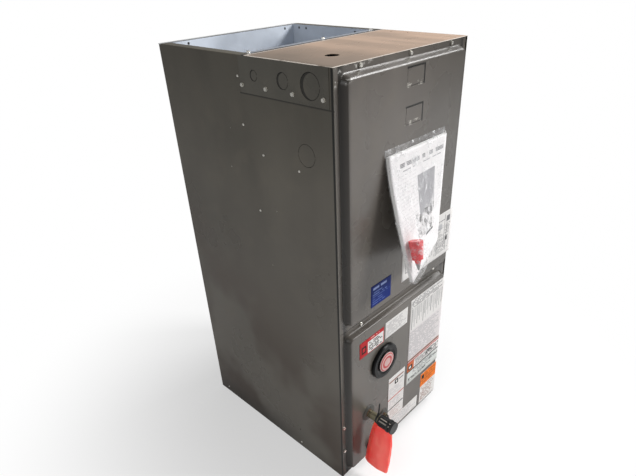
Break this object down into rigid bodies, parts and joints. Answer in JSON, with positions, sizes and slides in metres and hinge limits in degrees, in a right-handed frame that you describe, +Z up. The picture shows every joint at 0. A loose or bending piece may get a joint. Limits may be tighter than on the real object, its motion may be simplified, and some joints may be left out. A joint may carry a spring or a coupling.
{
  "type": "air handler",
  "caption": "Upright upflow air handler: painted cabinet with two pressed doors, open supply top, blower, coil, drain pan and filter inside.",
  "frame": {"origin": "middle of the cabinet's footprint, on the floor, at the centre of the four base bolt holes", "axes": "+Z up; the doors face -Y; +X is to the right when looking at the doors"},
  "size_m": [0.4508, 0.6703, 1.0827],
  "materials": {
    "casing_paint": "semi-gloss baked paint, dark olive brown-grey",
    "galvanised": "dull zinc-coated sheet",
    "insulation": "matt faced glass wool",
    "pan_plastic": "moulded, matt",
    "fins": "bare thin sheet",
    "copper": "bare copper tube",
    "brass": "turned brass",
    "transformer_core": "varnished laminations",
    "circuit_board": "lacquered board",
    "black_plastic": "moulded, matt",
    "terminal_plastic": "moulded, matt",
    "screw_steel": "zinc-plated steel",
    "motor_paint": "black enamel",
    "can_metal": "drawn can",
    "film": "clear crinkled film",
    "paper": "plain paper",
    "red_plastic": "moulded, glossy",
    "badge_black": "moulded, glossy, plain",
    "black_rubber": "moulded rubber",
    "filter_cloth": "pleated cloth",
    "card": "plain card",
    "red_vinyl": "soft red sheet, slightly glossy"
  },
  "bodies": {
    "cabinet": {"left_side_panel": "casing_paint", "right_side_panel": "casing_paint", "back_panel": "casing_paint", "top_cover": "casing_paint", "base_frame": "galvanised", "centre_rail": "galvanised", "supply_collar": "galvanised", "heater_partition": "galvanised", "heater_blank_plate": "galvanised", "blower_deck": "galvanised", "blower_rails": "galvanised", "side_liners": "insulation", "back_liner": "insulation", "filter_rails": "galvanised", "drain_pan": "pan_plastic", "coil_fins": "fins", "coil_tube_sheets": "galvanised", "return_bends": "copper", "coil_cap": "galvanised", "delta_plates": "galvanised", "suction_line": "copper", "liquid_line": "copper", "expansion_valve": "brass", "distributor_tubes": "copper", "sensing_bulb": "copper", "control_panel": "galvanised", "transformer": "transformer_core", "control_board": "circuit_board", "blower_relay": "black_plastic", "terminal_block": "terminal_plastic", "wire_harness": "black_plastic", "casing_screws": "screw_steel", "opening_screws": "screw_steel"},
    "blower": {"blower_side_plates": "galvanised", "blower_scroll": "galvanised", "blower_inlet_rings": "galvanised", "motor_case": "motor_paint", "motor_mount": "galvanised", "capacitor": "can_metal", "motor_lead": "black_plastic"},
    "wheel": {"blower_wheel": "galvanised", "wheel_hub": "screw_steel", "motor_shaft": "screw_steel"},
    "upper_door": {"upper_door": "casing_paint", "upper_door_liner": "insulation", "upper_door_screws": "screw_steel", "literature_bag": "film", "booklet": "paper", "spare_plug": "red_plastic"},
    "lower_door": {"lower_door": "casing_paint", "lower_door_liner": "insulation", "lower_door_screws": "screw_steel", "badge": "badge_black", "pipe_grommets": "black_rubber"},
    "filter": {"filter_media": "filter_cloth", "filter_frame": "card"},
    "stub_cap": {"stub_cap": "black_rubber", "cap_ties": "black_plastic", "transit_pouch": "red_vinyl"}
  },
  "joints": [
    {"name": "upper_door_slide", "type": "slide", "parent": "cabinet", "child": "upper_door", "axis": [0, -1, 0], "range_m": [0, 0.75]},
    {"name": "blower_slide", "type": "slide", "parent": "cabinet", "child": "blower", "axis": [0, -1, 0], "range_m": [0, 0.525]},
    {"name": "wheel_spin", "type": "hinge", "parent": "blower", "child": "wheel", "pos_m": [0, 0.04, 0.7], "axis": [1, 0, 0], "continuous": true},
    {"name": "lower_door_slide", "type": "slide", "parent": "cabinet", "child": "lower_door", "axis": [0, -1, 0], "range_m": [0, 0.65]},
    {"name": "filter_slide", "type": "slide", "parent": "cabinet", "child": "filter", "axis": [0, -1, 0], "range_m": [0, 0.5525]},
    {"name": "stub_cap_slide", "type": "slide", "parent": "cabinet", "child": "stub_cap", "axis": [0, -1, 0], "range_m": [0, 0.715]}
  ],
  "couplings": [
    {"joint": "blower_slide", "follows": "upper_door_slide", "ratio": 0.7},
    {"joint": "filter_slide", "follows": "lower_door_slide", "ratio": 0.85},
    {"joint": "stub_cap_slide", "follows": "lower_door_slide", "ratio": 1.1}
  ]
}
